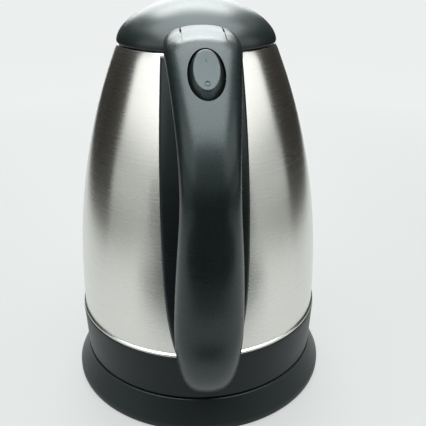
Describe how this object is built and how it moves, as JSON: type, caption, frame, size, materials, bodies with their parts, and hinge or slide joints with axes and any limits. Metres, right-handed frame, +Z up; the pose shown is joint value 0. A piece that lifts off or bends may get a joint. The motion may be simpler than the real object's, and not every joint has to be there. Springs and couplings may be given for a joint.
{
  "type": "electric kettle",
  "caption": "Cordless brushed-steel electric kettle with a black hinged lid, looped handle with rocker switch, open spout and swivel power base.",
  "frame": {"origin": "on the jug's axis, at the underside of the power base's foot ring", "axes": "+Z up; the handle is towards -Y and the spout towards +Y; +X is to the right seen from the handle side"},
  "size_m": [0.16, 0.1965, 0.2312],
  "materials": {
    "base_plastic": "black satin moulded plastic",
    "handle_plastic": "grey-black satin soft-touch plastic",
    "lid_plastic": "grey-black satin moulded plastic",
    "rocker_plastic": "grey satin moulded plastic",
    "foot_rubber": "black rubber",
    "seal_rubber": "pale silicone rubber",
    "steel_body": "stainless steel brushed round the jug",
    "steel_plain": "plain stainless steel sheet",
    "arm_black": "black-coated steel sheet",
    "screw_steel": "zinc-plated steel",
    "spreader_metal": "cast aluminium",
    "contact_brass": "plain brass",
    "bimetal": "bimetal strip",
    "control_plastic": "ivory heat-proof plastic",
    "gauge_clear": "clear plastic",
    "wire_red": "red silicone wire insulation"
  },
  "bodies": {
    "power_base": {"base_top": "base_plastic", "base_bottom": "base_plastic", "foot_ring": "foot_rubber", "base_socket": "base_plastic", "socket_contacts": "contact_brass", "base_screws": "screw_steel", "cord_gland": "foot_rubber"},
    "plug": {"kettle_plug": "base_plastic", "plug_contacts": "contact_brass"},
    "jug": {"body_shell": "steel_body", "spout": "steel_body", "heater_plate": "steel_plain", "heat_spreader": "spreader_metal", "heating_element": "steel_plain", "control_unit": "control_plastic", "boil_dry_discs": "bimetal", "skirt": "base_plastic", "bottom_cover": "base_plastic", "cover_screws": "screw_steel", "gauge_column": "base_plastic", "water_gauge": "gauge_clear", "gauge_seals": "seal_rubber", "handle_outer": "handle_plastic", "handle_inner": "handle_plastic", "handle_screw": "screw_steel", "head_bracket": "steel_plain", "bracket_screws": "screw_steel", "steam_duct": "base_plastic", "steam_switch": "control_plastic", "steam_bimetal": "bimetal", "switch_contacts": "contact_brass", "rocker_pin": "steel_plain", "hinge_pin": "steel_plain", "switch_wires": "wire_red"},
    "lid": {"lid_cover": "lid_plastic", "lid_inner": "steel_plain", "hinge_arms": "arm_black", "lid_screws": "screw_steel"},
    "switch": {"rocker": "rocker_plastic", "toggle_lever": "control_plastic", "snap_spring": "steel_plain"}
  },
  "joints": [
    {"name": "lift_off", "type": "slide", "parent": "power_base", "child": "plug", "axis": [0, 0, 1], "range_m": [0, 0.1]},
    {"name": "swivel", "type": "hinge", "parent": "plug", "child": "jug", "pos_m": [0, 0, 0.019], "axis": [0, 0, 1], "continuous": true},
    {"name": "lid_hinge", "type": "hinge", "parent": "jug", "child": "lid", "pos_m": [0, -0.0475, 0.2165], "axis": [1, 0, 0], "range_deg": [0, 90]},
    {"name": "rocker_switch", "type": "hinge", "parent": "jug", "child": "switch", "pos_m": [0, -0.07987, 0.20103], "axis": [-1, 0, 0], "range_deg": [0, 12]}
  ]
}
